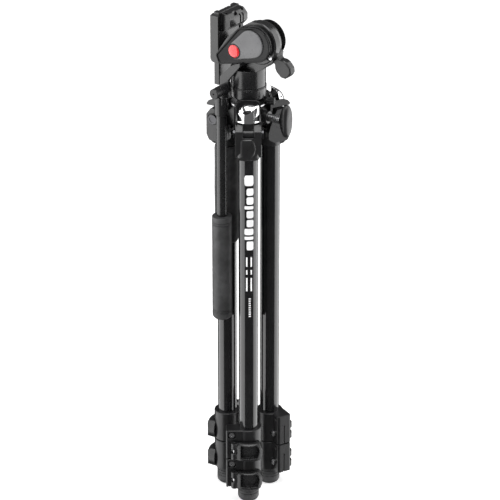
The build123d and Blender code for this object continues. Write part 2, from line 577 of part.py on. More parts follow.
def plate_holder():
    """Long rail with a channel for the plate, a near guide and a ribbed hump behind."""
    rail = block(*RAIL_X, *RAIL_Y, *RAIL_Z)
    ends = [e for e in rail.edges().filter_by(Axis.Z)]
    rail = soften(rail, ends, 1.5)
    guide = block(*GUIDE_X, *GUIDE_Y, *GUIDE_Z)
    lower = [e for e in guide.edges().filter_by(Axis.Y) if e.center().Z < 550 and e.center().X < -40]
    guide = soften(guide, lower, 5.0)
    hump_outline = [
        (RAIL_X[1] - 1, RAIL_Z[1] - 0.5), (-24, RAIL_Z[1] - 1.5), (-18.5, 594), (-18.5, 586),
        (-24, 580), (RAIL_X[1] - 1, 577.5),
    ]
    hump = prism_y(hump_outline, -9.0, 24.0)
    hump = soften(hump, [e for e in hump.edges().filter_by(Axis.Y) if e.center().X > -26], 2.5)
    holder = rail + guide + hump
    # channel with a dovetail undercut, screw hole, V notch and side slots
    y0, y1 = CHANNEL_Y
    x0 = RAIL_X[0]
    z0, z1 = RAIL_Z
    holder -= block(x0 - 1, x0 + CHANNEL_DEPTH, y0, y1, z0 - 1, z1 + 1)
    holder -= rod(1.7, 588, 602, -26.5, -5.5)
    holder -= rod(2.2, 588, 602, -24.0, 19.5)
    notch = [(-25, RAIL_Z[1] + 1), (-22, 590), (-19, RAIL_Z[1] + 1)]
    holder -= prism_y(notch, 2, 8)
    for y in (9.5, 14.5):
        holder -= block(-22.5, -17, y, y + 2.2, 575, 596)
    holder -= bar_y(PLATE_LOCK_R + FIT, CHANNEL_Y[1] - 1, 40, -35.0, PLATE_LOCK_Z)
    return holder


def camera_plate():
    """Sliding plate with its dovetail foot and the well of the camera screw."""
    y0, y1 = CHANNEL_Y
    plate = block(*PLATE_X, GUIDE_Y[1] + 0.4, RAIL_Y[1] - 1, *PLATE_Z)
    plate = soften(plate, plate.edges().filter_by(Axis.X), 3.0)
    plate += block(PLATE_X[1] - 0.5, RAIL_X[0] + CHANNEL_DEPTH - 0.3, y0 + 0.3, y1 - 0.3,
                   PLATE_Z[0] + 1, PLATE_Z[1] - 1)
    foot_x = RAIL_X[0] + CHANNEL_DEPTH
    plate -= bar_x(SCREW_NECK_R + FIT, -50, -30, CAMERA_SCREW_Y, CAMERA_SCREW_Z)
    plate -= bar_x(8.0, foot_x - 5.5, foot_x + 2, CAMERA_SCREW_Y, CAMERA_SCREW_Z)
    # grooves that hold the camera's base
    for z in (548.0, 552.5, 581.0, 585.5, 590.0):
        plate -= block(PLATE_X[0] - 1, PLATE_X[0] + 0.6, y0 - 3, y1 + 3, z, z + 1.6)
    return plate


def camera_screw():
    """Camera thread with its coin-slotted head inside the plate."""
    x_out = PLATE_X[0] - CAMERA_SCREW_OUT
    foot_x = RAIL_X[0] + CHANNEL_DEPTH
    head_x0, head_x1 = foot_x - 5.2, foot_x - 1.2
    screw = bar_x(CAMERA_SCREW_R, x_out, PLATE_X[0] + 1, CAMERA_SCREW_Y, CAMERA_SCREW_Z)
    screw += bar_x(SCREW_NECK_R, PLATE_X[0], head_x0 + 0.5, CAMERA_SCREW_Y, CAMERA_SCREW_Z)
    screw += bar_x(7.6, head_x0, head_x1, CAMERA_SCREW_Y, CAMERA_SCREW_Z)
    slot = block(-1.5, 1.0, -9.0, 9.0, -0.9, 0.9)
    return screw - Pos(head_x1, CAMERA_SCREW_Y, CAMERA_SCREW_Z) * slot


def plate_lock():
    """Lever on the far side that presses the plate's foot in its channel."""
    x, y = -35.0, RAIL_Y[1]
    lock = bar_y(PLATE_LOCK_R, CHANNEL_Y[1] + 1.0, y + 4, x, PLATE_LOCK_Z)
    lock += bar_y(6.0, y + 0.4, y + 6.5, x, PLATE_LOCK_Z)
    handle = block(x - 4.6, x + 4.6, y + 1.6, y + 6.5, PLATE_LOCK_Z, PLATE_LOCK_Z + 26)
    handle = soften(handle, handle.edges().filter_by(Axis.Y), 3.0)
    return lock + handle


def pan_base():
    """Fixed disc of the head with its hub, threaded for the column's stud."""
    disc = rod(BASE_R, *BASE_Z)
    disc = soften(disc, disc.edges().group_by(Axis.Z)[0], 2.0)
    disc -= tube(BASE_R + 1, BASE_R - 0.7, BASE_Z[1] - 1.6, BASE_Z[1] - 0.8)
    body = disc + rod(BASE_HUB_R, COLUMN_Z[1] + TOP_PLATE_T, BASE_Z[0] + 1)
    body -= rod(HEAD_STUD_R, COLUMN_Z[1] - 1, 509.0)
    lock_bore = bar_x(2.0 + FIT, 9, BASE_HUB_R + 2, 0, PAN_KNOB_Z)
    return body - at_azimuth(lock_bore, PAN_KNOB_AZ)


def pan_lock_knob():
    stem = bar_x(2.0, 9.5, 23.0, 0, PAN_KNOB_Z)
    knob = bar_x(4.4, 21.8, 31.0, 0, PAN_KNOB_Z)
    knob = soften(knob, knob.edges().group_by(Axis.X)[-1], 1.2)
    flutes = 10
    for k in range(flutes):
        turn = 2 * math.pi * k / flutes
        knob -= bar_x(0.6, 22.8, 32, 4.5 * math.cos(turn), PAN_KNOB_Z + 4.5 * math.sin(turn))
    return at_azimuth(stem + knob, PAN_KNOB_AZ)


def bar_clamp_knob():
    """Round knob with the bolt that clamps the pan bar to the bracket."""
    y_out, y_in = BAR_KNOB_Y
    bolt = bar_y(BAR_BOLT_R, y_out + 2, BRACKET_Y[1], BAR_X, BAR_CLAMP_Z)
    knob = bar_y(BAR_R, y_out, y_in, BAR_X, BAR_CLAMP_Z)
    knob = soften(knob, knob.edges().group_by(Axis.Y)[0], 1.0)
    knob -= bar_y(1.0, y_out - 1, y_out + 3, BAR_X, BAR_CLAMP_Z)
    return bolt + knob


def pan_bar():
    """Hollow bar with the cross barrel that turns on the clamp bolt."""
    gap = 0.35
    y0, y1 = BAR_KNOB_Y[1] + gap, BRACKET_Y[0] - gap
    socket = rod(SOCKET_R, SOCKET_BOTTOM, BAR_CLAMP_Z - BAR_R - 0.5, BAR_X, BAR_Y)
    socket = soften(socket, socket.edges().group_by(Axis.Z)[0], 1.5)
    barrel = bar_y(BAR_R + 0.3, y0, y1, BAR_X, BAR_CLAMP_Z)
    throat = block(BAR_X - 5.4, BAR_X + 5.4, y0, y1, SOCKET_BOTTOM + 14, BAR_CLAMP_Z)
    body = socket + barrel + throat
    body &= block(BAR_X - 20, BAR_X + 20, BAR_Y - 20, y1, 400, 560)
    body += rod(BAR_R, BAR_Z[0], SOCKET_BOTTOM + 4, BAR_X, BAR_Y)
    body -= rod(BAR_R - 1.3, BAR_Z[0] - 1, SOCKET_BOTTOM, BAR_X, BAR_Y)
    return body - bar_y(BAR_BOLT_R + FIT, -60, 0, BAR_X, BAR_CLAMP_Z)


def pan_grip():
    """Rubber grip with a rounded lower end and ribbed bands near both ends."""
    z0, z1 = GRIP_Z
    grip = rod(GRIP_R, z0, z1, BAR_X, BAR_Y)
    grip = soften(grip, grip.edges().group_by(Axis.Z)[0], 5.0)
    grip = soften(grip, grip.edges().group_by(Axis.Z)[-1], 1.0)
    for z in (z0 + 9, z0 + 12, z1 - 10, z1 - 7):
        grip -= tube(GRIP_R + 1, GRIP_R - 0.5, z, z + 1.2, BAR_X, BAR_Y)
    return grip - rod(BAR_R, BAR_Z[0], z1 + 1, BAR_X, BAR_Y)


# ---------------------------------------------------------------- assembly
def build_nodes():
    one_leg = leg_parts()
    for k, leg in enumerate(LEG_NAMES):
        for part_name, shape in one_leg.items():
            add(f"{leg}_{part_name}", Rot(0, 0, LEG_TURN * k) * shape)
    sleeve = tube(SLEEVE_R, UPPER_OD / 2, *SLEEVE_Z, 0, -LEG_PITCH_R)
    add("left_leg_sleeve", Rot(0, 0, LEG_TURN * 2) * sleeve)

    stud, knob = column_lock()
    add("shoulder", shoulder())
    add("hinge_pins", hinge_pins())
    add("column_bush", bush())
    add("column_lock_stud", stud)
    add("column_lock_knob", knob)
    add("column_tube", tube(COLUMN_OD / 2, COLUMN_OD / 2 - COLUMN_WALL, *COLUMN_Z))
    add("column_end_cap", column_cap())
    add("head_stud", head_stud())
    add("pan_base", pan_base())
    add("pan_lock_knob", pan_lock_knob())

    head_parts = {
        "head_housing": housing(),
        "tilt_pins": tilt_pins(),
        "tilt_body": tilt_body(),
        "side_cover": side_cover(),
        "badge": badge(),
        "tilt_lever": tilt_lever(),
        "plate_holder": plate_holder(),
        "plate_lock": plate_lock(),
        "camera_plate": camera_plate(),
        "camera_screw": camera_screw(),
        "bar_clamp_knob": bar_clamp_knob(),
        "pan_bar": pan_bar(),
        "pan_grip": pan_grip(),
    }
    for part_name, shape in head_parts.items():
        add(part_name, Rot(0, 0, HEAD_YAW) * shape)


def centre_offset():
    """Shift that puts the middle of the whole model's box over the origin."""
    boxes = [shape.bounding_box() for shape in NODES.values()]
    x_mid = (min(b.min.X for b in boxes) + max(b.max.X for b in boxes)) / 2
    y_mid = (min(b.min.Y for b in boxes) + max(b.max.Y for b in boxes)) / 2
    return -x_mid, -y_mid


build_nodes()
SHIFT = centre_offset()
for node_name, node_shape in NODES.items():
    export_step(Pos(SHIFT[0], SHIFT[1], 0) * node_shape, f"parts/{node_name}.step")
print("column axis at", [round(value, 4) for value in SHIFT], "nodes", len(NODES))
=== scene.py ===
import json
import math

import bmesh
import bpy
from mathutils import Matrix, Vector


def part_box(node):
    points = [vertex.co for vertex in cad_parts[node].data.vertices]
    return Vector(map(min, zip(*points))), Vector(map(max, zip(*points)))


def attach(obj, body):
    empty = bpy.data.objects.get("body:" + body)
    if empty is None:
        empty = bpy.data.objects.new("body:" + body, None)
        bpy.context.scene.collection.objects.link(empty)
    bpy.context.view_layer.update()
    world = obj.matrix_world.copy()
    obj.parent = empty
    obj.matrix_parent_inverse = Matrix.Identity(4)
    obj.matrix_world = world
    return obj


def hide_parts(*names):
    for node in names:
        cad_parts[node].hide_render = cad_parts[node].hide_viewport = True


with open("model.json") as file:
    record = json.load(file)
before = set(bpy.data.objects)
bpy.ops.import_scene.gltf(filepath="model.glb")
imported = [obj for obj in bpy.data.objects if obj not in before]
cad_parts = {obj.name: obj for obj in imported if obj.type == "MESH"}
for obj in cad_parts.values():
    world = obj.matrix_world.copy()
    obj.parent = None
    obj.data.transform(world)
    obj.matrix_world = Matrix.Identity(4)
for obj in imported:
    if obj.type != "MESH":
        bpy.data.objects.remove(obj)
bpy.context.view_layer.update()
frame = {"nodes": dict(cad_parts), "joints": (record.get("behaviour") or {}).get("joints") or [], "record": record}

MM = 0.001
NODES = frame["nodes"]
JOINTS = {joint["name"]: joint for joint in frame["joints"]}
SCENE = bpy.context.scene


# ---------------------------------------------------------------- materials
class Graph:
    """A material's node tree with a few shortcuts."""

    def __init__(self, name):
        self.material = bpy.data.materials.new(name)
        self.material.use_nodes = True
        self.tree = self.material.node_tree
        self.shader = self.tree.nodes["Principled BSDF"]
        coordinate = self.add("ShaderNodeTexCoord")
        self.place = coordinate.outputs["Object"]

    def add(self, kind, **settings):
        node = self.tree.nodes.new(kind)
        for key, value in settings.items():
            setattr(node, key, value)
        return node

    def link(self, source, target):
        self.tree.links.new(source, target)

    def set(self, **sockets):
        for key, value in sockets.items():
            self.shader.inputs[key.replace("_", " ")].default_value = value

    def noise(self, scale, detail=3.0, rough=0.55, stretch=None):
        node = self.add("ShaderNodeTexNoise")
        node.inputs["Scale"].default_value = scale
        node.inputs["Detail"].default_value = detail
        node.inputs["Roughness"].default_value = rough
        place = self.place
        if stretch:
            mapping = self.add("ShaderNodeMapping")
            mapping.inputs["Scale"].default_value = stretch
            self.link(self.place, mapping.inputs["Vector"])
            place = mapping.outputs["Vector"]
        self.link(place, node.inputs["Vector"])
        return node.outputs["Fac"]

    def cells(self, scale, feature="F1"):
        node = self.add("ShaderNodeTexVoronoi", feature=feature)
        node.inputs["Scale"].default_value = scale
        self.link(self.place, node.inputs["Vector"])
        return node.outputs["Distance"]

    def span(self, value, low, high, to_low=0.0, to_high=1.0):
        node = self.add("ShaderNodeMapRange")
        for key, number in zip(("From Min", "From Max", "To Min", "To Max"), (low, high, to_low, to_high)):
            node.inputs[key].default_value = number
        self.link(value, node.inputs["Value"])
        return node.outputs["Result"]

    def maths(self, operation, first, second):
        node = self.add("ShaderNodeMath", operation=operation)
        for socket, value in zip(node.inputs, (first, second)):
            if isinstance(value, (int, float)):
                socket.default_value = value
            else:
                self.link(value, socket)
        return node.outputs["Value"]

    def blend(self, factor, first, second):
        node = self.add("ShaderNodeMix", data_type="RGBA")
        self.link(factor, node.inputs["Factor"])
        for socket, value in zip((node.inputs[6], node.inputs[7]), (first, second)):
            if isinstance(value, tuple):
                socket.default_value = (*value, 1.0)
            else:
                self.link(value, socket)
        return node.outputs[2]

    def edges(self, radius):
        """A rounded normal, and a mask that is 1 along the corners it rounds."""
        rounded = self.add("ShaderNodeBevel", samples=4)
        rounded.inputs["Radius"].default_value = radius
        flat = self.add("ShaderNodeNewGeometry")
        dot = self.add("ShaderNodeVectorMath", operation="DOT_PRODUCT")
        self.link(rounded.outputs["Normal"], dot.inputs[0])
        self.link(flat.outputs["Normal"], dot.inputs[1])
        mask = self.span(dot.outputs["Value"], 0.995, 0.80)
        return rounded.outputs["Normal"], mask

    def bump(self, height, distance, strength=1.0, normal=None):
        node = self.add("ShaderNodeBump")
        node.inputs["Distance"].default_value = distance
        node.inputs["Strength"].default_value = strength
        self.link(height, node.inputs["Height"])
        if normal is not None:
            self.link(normal, node.inputs["Normal"])
        return node.outputs["Normal"]


def coated(name, color, roughness, grain, depth, coat=0.0, edge=0.0004, edge_scuff_and_highlight=2.2, spread=0.06, specular=0.5):
    """Paint or moulded plastic: tinted clouds, fine grain, uneven sheen, edges lighter from scuffing and from a
    painted edge highlight.
    """
    graph = Graph(name)
    light = tuple(min(1.0, channel * 1.35 + 0.002) for channel in color)
    # Edge colour: partly scuffing, partly a painted edge highlight along lit corners.
    scuffed_and_highlit = tuple(min(1.0, channel * edge_scuff_and_highlight + 0.012) for channel in color)
    clouds = graph.span(graph.noise(45.0, 4.0), 0.35, 0.68)
    body = graph.blend(clouds, color, light)
    rounded, mask = graph.edges(edge)
    patchy = graph.span(graph.noise(300.0, 2.0), 0.35, 0.6)
    # Painted edge highlight mixed with scuffing: the bevel edge mask lightens the base colour along corners.
    scuff_and_highlight_mask = graph.maths("MULTIPLY", graph.maths("MULTIPLY", mask, patchy), 0.55)
    graph.link(graph.blend(scuff_and_highlight_mask, body, scuffed_and_highlit), graph.shader.inputs["Base Color"])
    smudge = graph.span(graph.noise(120.0, 5.0), 0.3, 0.7, roughness - spread, roughness + spread)
    graph.link(smudge, graph.shader.inputs["Roughness"])
    grained = graph.bump(graph.noise(grain, 2.0), depth, 0.6, rounded)
    graph.link(grained, graph.shader.inputs["Normal"])
    graph.set(Coat_Weight=coat, Coat_Roughness=0.06, Specular_IOR_Level=specular)
    return graph.material


def metal(name, color, roughness, stretch, depth, edge=0.0003, spread=0.08, tint=0.82):
    """Bare metal with brushing along one direction and faint stains."""
    graph = Graph(name)
    darker = tuple(channel * tint for channel in color)
    stain = graph.span(graph.noise(70.0, 4.0), 0.35, 0.65)
    graph.link(graph.blend(stain, color, darker), graph.shader.inputs["Base Color"])
    streak = graph.noise(1.0, 3.0, 0.6, stretch)
    rough = graph.span(streak, 0.3, 0.7, roughness - spread, roughness + spread)
    graph.link(rough, graph.shader.inputs["Roughness"])
    rounded, _ = graph.edges(edge)
    graph.link(graph.bump(streak, depth, 0.5, rounded), graph.shader.inputs["Normal"])
    graph.set(Metallic=1.0)
    return graph.material


def rubbery(name, color, roughness, pore, depth, sheen=0.0):
    """Rubber or foam: open pores, dusty high spots and a soft sheen."""
    graph = Graph(name)
    dusty = tuple(channel * 1.9 + 0.006 for channel in color)
    dust = graph.span(graph.noise(90.0, 5.0, 0.6), 0.42, 0.75)
    graph.link(graph.blend(dust, color, dusty), graph.shader.inputs["Base Color"])
    rough = graph.span(graph.noise(150.0), 0.3, 0.7, roughness - 0.07, min(1.0, roughness + 0.07))
    graph.link(rough, graph.shader.inputs["Roughness"])
    holes = graph.maths("ADD", graph.cells(pore), graph.maths("MULTIPLY", graph.noise(pore * 0.4), 0.8))
    graph.link(graph.bump(holes, depth, 0.8), graph.shader.inputs["Normal"])
    graph.set(Sheen_Weight=sheen, Sheen_Roughness=0.5, Specular_IOR_Level=0.3)
    return graph.material


def knurled(name, color):
    """Moulded grip rubber: fine ribs along the length under a matt skin."""
    graph = Graph(name)
    dusty = tuple(channel * 1.7 + 0.008 for channel in color)
    dust = graph.span(graph.noise(60.0, 5.0, 0.65), 0.4, 0.72)
    graph.link(graph.blend(dust, color, dusty), graph.shader.inputs["Base Color"])
    ribs = graph.add("ShaderNodeTexWave", wave_type="BANDS", bands_direction="Z")
    ribs.inputs["Scale"].default_value = 190.0
    ribs.inputs["Distortion"].default_value = 0.4
    graph.link(graph.place, ribs.inputs["Vector"])
    relief = graph.maths("ADD", ribs.outputs["Fac"], graph.maths("MULTIPLY", graph.noise(2600.0), 0.35))
    graph.link(graph.bump(relief, 0.00012, 0.7), graph.shader.inputs["Normal"])
    rough = graph.span(graph.noise(140.0), 0.3, 0.7, 0.42, 0.58)
    graph.link(rough, graph.shader.inputs["Roughness"])
    return graph.material


# The large edge multipliers on the near-black castings, clamps, levers and trim paint a bright edge highlight as
# well as scuffing.
MATERIALS = {
    "leg_tube": coated("gloss_black_paint", (0.0045, 0.0045, 0.005), 0.17, 700.0, 0.000008,
                       coat=0.6, edge=0.0003, spread=0.035, specular=0.42),
    "inner_tube": metal("dark_anodised", (0.11, 0.11, 0.115), 0.34, (2200.0, 2200.0, 18.0), 0.00001),
    "casting": coated("satin_casting", (0.008, 0.008, 0.0085), 0.32, 1900.0, 0.00004, edge=0.0007, edge_scuff_and_highlight=6.0,
                      specular=0.7),
    "head_casting": coated("head_casting", (0.006, 0.006, 0.0065), 0.28, 2300.0, 0.00003,
                           edge=0.0008, edge_scuff_and_highlight=8.0, coat=0.25, specular=0.6),
    "chrome": metal("polished_chrome", (0.86, 0.86, 0.87), 0.09, (900.0, 900.0, 900.0), 0.000003,
                    spread=0.03, tint=0.93, edge=0.0006),
    "clamp": coated("clamp_nylon", (0.007, 0.007, 0.0075), 0.33, 2000.0, 0.00004, edge=0.0007, edge_scuff_and_highlight=6.0),
    "lever": coated("lever_nylon", (0.009, 0.009, 0.0095), 0.28, 2400.0, 0.00003, edge=0.0009, edge_scuff_and_highlight=7.0),
    "steel": metal("brushed_steel", (0.62, 0.62, 0.63), 0.27, (260.0, 2600.0, 260.0), 0.000008),
    "hinge_steel": metal("blackened_steel", (0.10, 0.10, 0.105), 0.33, (1400.0, 1400.0, 1400.0), 0.00001),
    "rubber": rubbery("foot_rubber", (0.034, 0.034, 0.035), 0.48, 1900.0, 0.00003),
    "foam": rubbery("sleeve_foam", (0.026, 0.026, 0.027), 0.86, 1100.0, 0.00022, sheen=0.15),
    "grip": knurled("grip_rubber", (0.028, 0.028, 0.029)),
    "bush": coated("bush_nylon", (0.42, 0.42, 0.40), 0.45, 1500.0, 0.00003, edge_scuff_and_highlight=1.2),
    "knob": coated("knob_nylon", (0.010, 0.010, 0.0105), 0.33, 2100.0, 0.00004, edge=0.0008, edge_scuff_and_highlight=6.0),
    "cover": coated("cover_panel", (0.085, 0.085, 0.088), 0.30, 2600.0, 0.00002, coat=0.2,
                    edge=0.0006, edge_scuff_and_highlight=2.5),
    "badge": coated("red_enamel", (0.55, 0.012, 0.016), 0.16, 1200.0, 0.00001, coat=0.7, edge_scuff_and_highlight=1.3),
    "plate": coated("plate_paint", (0.02, 0.02, 0.021), 0.36, 1700.0, 0.00005, edge=0.0006, edge_scuff_and_highlight=5.0),
}
PRINT_WHITE = coated("printed_white", (0.72, 0.72, 0.72), 0.42, 3000.0, 0.00001, edge_scuff_and_highlight=1.0)
# Black trim for the cover rim, button rim and knob body; also used as the painted shade inside the hood slots.
BLACK_TRIM_AND_SHADE = coated("black_trim_and_shade", (0.004, 0.004, 0.0045), 0.30, 2400.0, 0.00002, edge=0.0003, edge_scuff_and_highlight=12.0,
                    specular=0.25)

SLOT_OF = {entry["node"]: entry["material_slot"] for entry in frame["record"]["subparts"]}
for node_name, node_object in NODES.items():
    node_object.data.materials.clear()
    node_object.data.materials.append(MATERIALS[SLOT_OF[node_name]])


# ---------------------------------------------------------------- mesh helpers
def new_piece(name, mesh, material, body, replaced=()):
    piece = bpy.data.objects.new(name, mesh)
    SCENE.collection.objects.link(piece)
    piece.data.materials.append(material)
    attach(piece, body)
    if replaced:
        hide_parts(*replaced)
    return piece


def smooth_mesh(name, build, angle=35.0):
    """A mesh from bmesh calls, shaded smooth but for its sharp corners."""
    work = bmesh.new()
    build(work)
    bmesh.ops.recalc_face_normals(work, faces=work.faces)
    mesh = bpy.data.meshes.new(name)
    work.to_mesh(mesh)
    work.free()
    mesh.polygons.foreach_set("use_smooth", [True] * len(mesh.polygons))
    mesh.set_sharp_from_angle(angle=math.radians(angle))
    return mesh


def loft(work, rings, close_first=True, close_last=True):
    """Skin a list of closed rings that have the same number of points."""
    made = [[work.verts.new(point) for point in ring] for ring in rings]
    for low, high in zip(made, made[1:]):
        count = len(low)
        for i in range(count):
            j = (i + 1) % count
            work.faces.new((low[i], low[j], high[j], high[i]))
    if close_first:
        work.faces.new(list(reversed(made[0])))
    if close_last:
        work.faces.new(made[-1])


def hull_outline(circles, grow=0.0, steps=48):
    """Convex outline round a set of (x, z, radius) circles, as evenly spaced points."""
    points = []
    for x, z, radius in circles:
        size = max(radius + grow, 0.05)
        for k in range(steps * 2):
            turn = math.pi * k / steps
            points.append((x + size * math.cos(turn), z + size * math.sin(turn)))
    points = sorted(points)

    def half(sequence):
        chain = []
        for point in sequence:
            while len(chain) > 1:
                (ax, az), (bx, bz) = chain[-2], chain[-1]
                if (bx - ax) * (point[1] - az) - (bz - az) * (point[0] - ax) > 0:
                    break
                chain.pop()
            chain.append(point)
        return chain[:-1]

    outline = half(points) + half(points[::-1])
    return resample(outline, 160)


def resample(outline, count):
    """The closed outline again, as that many points at equal spacing."""
    closed = outline + outline[:1]
    lengths = [math.dist(a, b) for a, b in zip(closed, closed[1:])]
    total = sum(lengths)
    points, index, walked = [], 0, 0.0
    for k in range(count):
        target = total * k / count
        while walked + lengths[index] < target:
            walked += lengths[index]
            index += 1
        share = (target - walked) / lengths[index]
        (ax, az), (bx, bz) = closed[index], closed[index + 1]
        points.append((ax + (bx - ax) * share, az + (bz - az) * share))
    return points


# ---------------------------------------------------------------- places read from the frame
column_low, column_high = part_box("column_tube")
COLUMN = Vector(((column_low.x + column_high.x) / 2, (column_low.y + column_high.y) / 2, 0.0))
TILT_POS = Vector(JOINTS["tilt"]["pos_m"])
TILT_AXIS = Vector(JOINTS["tilt"]["axis"]).normalized()
HEAD_X = Vector((TILT_AXIS.y, -TILT_AXIS.x, 0.0))


def head_point(x, y, z):
    """A point in the head's own directions, measured in mm from the tilt axis."""
    return TILT_POS + (HEAD_X * x + TILT_AXIS * y + Vector((0, 0, z))) * MM


def head_ring(outline, y):
    return [head_point(x, y, z) for x, z in outline]


# ---------------------------------------------------------------- side cover and its button
COVER_CIRCLES = [(0.2, 0.1, 20.4), (-46.5, -28.3, 4.6), (-48.7, -23.5, 4.4), (-18.3, 9.1, 7.0)]
PANEL_CIRCLES = [(-4.3, 0.1, 16.0), (-26.7, -13.3, 9.4)]
BADGE_CENTRE = (-27.2, -13.0)
BADGE_RADIUS = 7.4
COVER_BACK, COVER_FRONT = -16.2, -19.0


def build_cover(work):
    steps = [(-1.2, COVER_BACK), (0.0, COVER_BACK - 0.5), (0.0, COVER_FRONT + 0.7),
             (-0.25, COVER_FRONT + 0.25), (-0.8, COVER_FRONT), (-1.5, COVER_FRONT + 0.1),
             (-1.9, COVER_FRONT + 0.5), (-2.3, COVER_FRONT + 0.9), (-3.2, COVER_FRONT + 1.1)]
    rings = [head_ring(hull_outline(COVER_CIRCLES, grow), y) for grow, y in steps]
    loft(work, rings)


def build_panel(work):
    steps = [(0.0, COVER_FRONT + 1.25), (0.0, COVER_FRONT + 0.2), (-0.3, COVER_FRONT - 0.1),
             (-0.9, COVER_FRONT - 0.3), (-4.0, COVER_FRONT - 0.45), (-8.0, COVER_FRONT - 0.5)]
    rings = [head_ring(hull_outline(PANEL_CIRCLES, grow), y) for grow, y in steps]
    loft(work, rings)


BUTTON_TURNS = 64
BUTTON_PROFILE = [(1.0, 0.4), (1.0, -0.6), (0.985, -0.85), (0.94, -1.1), (0.86, -1.38), (0.72, -1.68),
                  (0.52, -1.95), (0.30, -2.12), (0.12, -2.18)]
RIM_PROFILE = [(1.06, 0.3), (1.22, 0.3), (1.22, -0.55), (1.17, -0.8), (1.09, -0.85), (1.05, -0.7)]
WELD = 1e-6


def button_ring(share, lift):
    """A circle about the button's centre: a share of its radius, lifted off the cover."""
    radius = BADGE_RADIUS * share
    turns = [2 * math.pi * k / BUTTON_TURNS for k in range(BUTTON_TURNS)]
    return [head_point(BADGE_CENTRE[0] + radius * math.cos(turn), COVER_FRONT + lift,
                       BADGE_CENTRE[1] + radius * math.sin(turn)) for turn in turns]


def build_badge(work):
    loft(work, [button_ring(share, lift) for share, lift in BUTTON_PROFILE])


def build_badge_rim(work):
    rings = [button_ring(share, lift) for share, lift in RIM_PROFILE + RIM_PROFILE[:1]]
    loft(work, rings, False, False)
    bmesh.ops.remove_doubles(work, verts=work.verts, dist=WELD)


new_piece("cover_shell", smooth_mesh("cover_shell", build_cover), BLACK_TRIM_AND_SHADE, "tilt",
          ["side_cover"])
new_piece("cover_panel", smooth_mesh("cover_panel", build_panel), MATERIALS["cover"], "tilt")
new_piece("round_button", smooth_mesh("round_button", build_badge, 60), MATERIALS["badge"], "tilt",
          ["badge"])
new_piece("button_rim", smooth_mesh("button_rim", build_badge_rim), BLACK_TRIM_AND_SHADE, "tilt")


# ---------------------------------------------------------------- foam sleeve
SLEEVE_TURNS, SLEEVE_LEVELS = 72, 64
SLEEVE_BORE = 11.3 * MM      # radius of the tube inside
SLEEVE_SKIN = 0.25 * MM      # how far the foam's mean surface stays inside the CAD sleeve
SLEEVE_LIP = 1.3 * MM        # length over which the ends draw in
SEAM_AT, SEAM_WIDTH = 2.2, 0.05


def build_sleeve(work):
    low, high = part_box("left_leg_sleeve")
    centre = (low + high) / 2
    radius = (high.x - low.x) / 2
    turns, levels = SLEEVE_TURNS, SLEEVE_LEVELS
    rings = []
    for level in range(levels + 1):
        share = level / levels
        z = low.z + (high.z - low.z) * share
        ends = min(share, 1 - share) * (high.z - low.z)
        lip = 1.0 - 0.09 * math.exp(-ends / SLEEVE_LIP)
        ring = []
        for k in range(turns):
            turn = 2 * math.pi * k / turns
            dents = math.sin(3 * turn + 9 * share) * 0.10 + math.sin(5 * turn - 14 * share) * 0.07
            seam = 0.35 * math.exp(-((turn - SEAM_AT) / SEAM_WIDTH) ** 2)
            size = (radius - SLEEVE_SKIN + (dents - seam) * MM * 0.8) * lip
            ring.append((centre.x + size * math.cos(turn), centre.y + size * math.sin(turn), z))
        rings.append(ring)

    def inside(z):
        return [(centre.x + SLEEVE_BORE * math.cos(2 * math.pi * k / turns),
                 centre.y + SLEEVE_BORE * math.sin(2 * math.pi * k / turns), z) for k in range(turns)]

    rings = [inside(high.z), inside(low.z)] + rings + [inside(high.z)]
    loft(work, rings, False, False)
    bmesh.ops.remove_doubles(work, verts=work.verts, dist=WELD)


sleeve = new_piece("foam_sleeve", smooth_mesh("foam_sleeve", build_sleeve, 50), MATERIALS["foam"],
                   "left_leg", ["left_leg_sleeve"])


# ---------------------------------------------------------------- plain marks on the front leg
def leg_axis(leg):
    low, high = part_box(f"{leg}_upper_tube")
    return (low.x + high.x) / 2, (low.y + high.y) / 2, (high.x - low.x) / 2


def build_mark(work, leg, facing, z0, z1, across, offset=0.0):
    """A printed patch that follows the tube, rounded at its corners."""
    x0, y0, radius = leg_axis(leg)
    skin = radius + 0.06 * MM
    columns = 12
    corner = min(across, (z1 - z0) / MM) * 0.22
    half = across / 2
    grid = []
    for column in range(columns + 1):
        s = -half + across * column / columns
        inset = corner * (1 - math.sqrt(max(0.0, 1 - (max(0.0, abs(s) - (half - corner)) / corner) ** 2)))
        turn = math.radians(facing) + (s + offset) * MM / skin
        x, y = x0 + skin * math.cos(turn), y0 + skin * math.sin(turn)
        low = work.verts.new((x, y, z0 + inset * MM))
        high = work.verts.new((x, y, z1 - inset * MM))
        grid.append((low, high))
    for (a, b), (c, d) in zip(grid, grid[1:]):
        work.faces.new((a, c, d, b))


MARK_FACING = -86.0
BLOCKS = [(424, 411, 10.5), (408, 399, 8.0), (397, 388, 8.0), (386, 382, 10.5), (380, 371, 8.0),
          (369, 360, 8.0), (358, 350, 10.5), (348, 344, 10.5), (342, 331, 8.0)]
DASHES = [(322, 310), (306, 300), (296, 279)]


def build_marks(work):
    for high, low, across in BLOCKS:
        build_mark(work, "front", MARK_FACING, low * MM, high * MM, across, (10.5 - across) / 2)
    for high, low in DASHES:
        for lane in (-2.6, 2.6):
            build_mark(work, "front", MARK_FACING, low * MM, high * MM, 1.7, lane)
    for k in range(9):
        top = 270.0 - 2.8 * k
        build_mark(work, "front", MARK_FACING, (top - 1.5) * MM, top * MM, 2.6, 0.8)


marks = smooth_mesh("leg_marks", build_marks)
new_piece("leg_marks", marks, PRINT_WHITE, "front_leg")


# ---------------------------------------------------------------- latch hoods and leg cap faces
LEGS = ("front", "right", "left")


